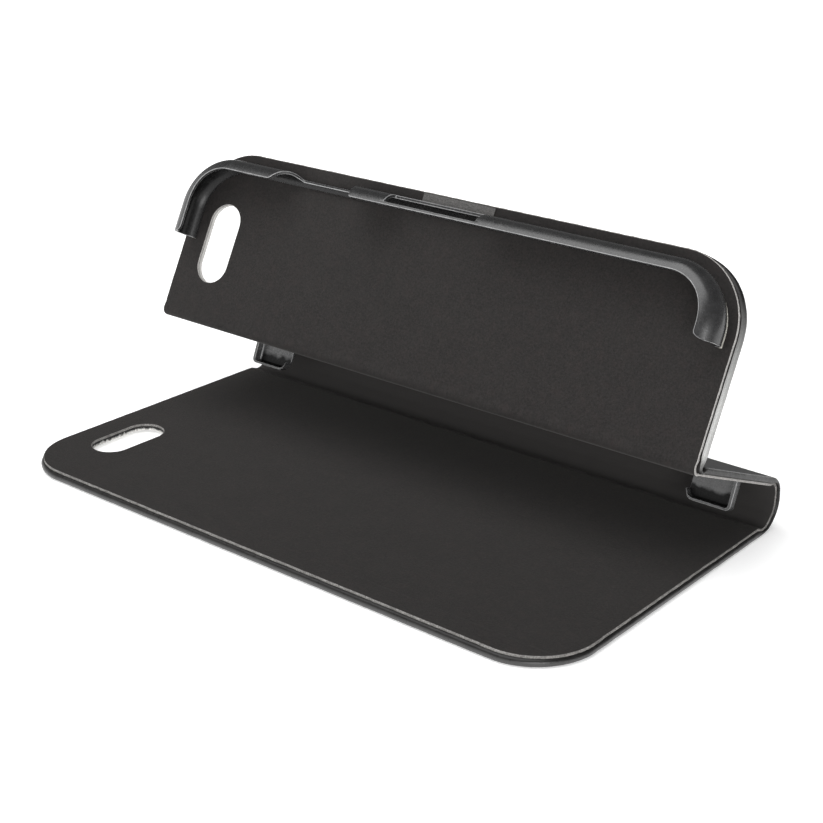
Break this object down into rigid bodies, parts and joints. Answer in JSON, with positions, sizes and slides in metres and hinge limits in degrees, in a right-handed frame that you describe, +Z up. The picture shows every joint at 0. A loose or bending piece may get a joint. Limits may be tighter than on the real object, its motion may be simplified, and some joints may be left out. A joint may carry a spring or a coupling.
{
  "type": "folio phone case with stand fold",
  "caption": "Leather folio phone case folded into a landscape stand: flat front cover, curved spine, flap and leaning upper panel with a plastic rail that grips the phone.",
  "frame": {"origin": "middle of the front cover's underside, on the surface that it rests on", "axes": "+Z up; X along the case, with the camera holes at -X; -Y is the front cover's free edge, +Y the spine"},
  "size_m": [0.1428, 0.081, 0.0604],
  "materials": {
    "outer_leather": "smooth black leather, fine grain, turned and burnished edges",
    "lining": "matte dark brown-black microfibre with a paler cut edge",
    "fold": "leather and lining folded together",
    "board": "pale card with a matte face and a raw cut edge",
    "rail_plastic": "black moulded polycarbonate, semi-gloss",
    "tape": "double-sided adhesive tape",
    "plate": "grey-black coated thin steel"
  },
  "bodies": {
    "front_cover": {"front_cover_leather": "outer_leather", "front_cover_board": "board", "front_cover_lining": "lining", "cover_crease": "fold"},
    "spine": {"spine_leather": "outer_leather", "spine_stay": "board", "spine_lining": "lining", "spine_crease": "fold"},
    "flap": {"flap_leather": "outer_leather", "flap_board": "board", "flap_lining": "lining", "stand_crease": "fold", "lower_clip_left": "rail_plastic", "lower_clip_right": "rail_plastic", "clip_tape_left": "tape", "clip_tape_right": "tape"},
    "upper_panel": {"upper_panel_leather": "outer_leather", "upper_panel_board": "board", "upper_panel_lining": "lining", "phone_rail": "rail_plastic", "rail_tape": "tape", "edge_plate": "plate"}
  },
  "joints": [
    {"name": "cover_crease_hinge", "type": "hinge", "parent": "front_cover", "child": "spine", "pos_m": [0, 0.038, 0.0011], "axis": [1, 0, 0], "range_deg": [-122.1, 20.9]},
    {"name": "spine_crease_hinge", "type": "hinge", "parent": "spine", "child": "flap", "pos_m": [0, 0.04189, 0.01031], "axis": [1, 0, 0], "range_deg": [-145.5, 1.5]},
    {"name": "stand_fold_hinge", "type": "hinge", "parent": "flap", "child": "upper_panel", "pos_m": [0, 0.00759, 0.02445], "axis": [1, 0, 0], "range_deg": [-20.4, 94.6]}
  ]
}
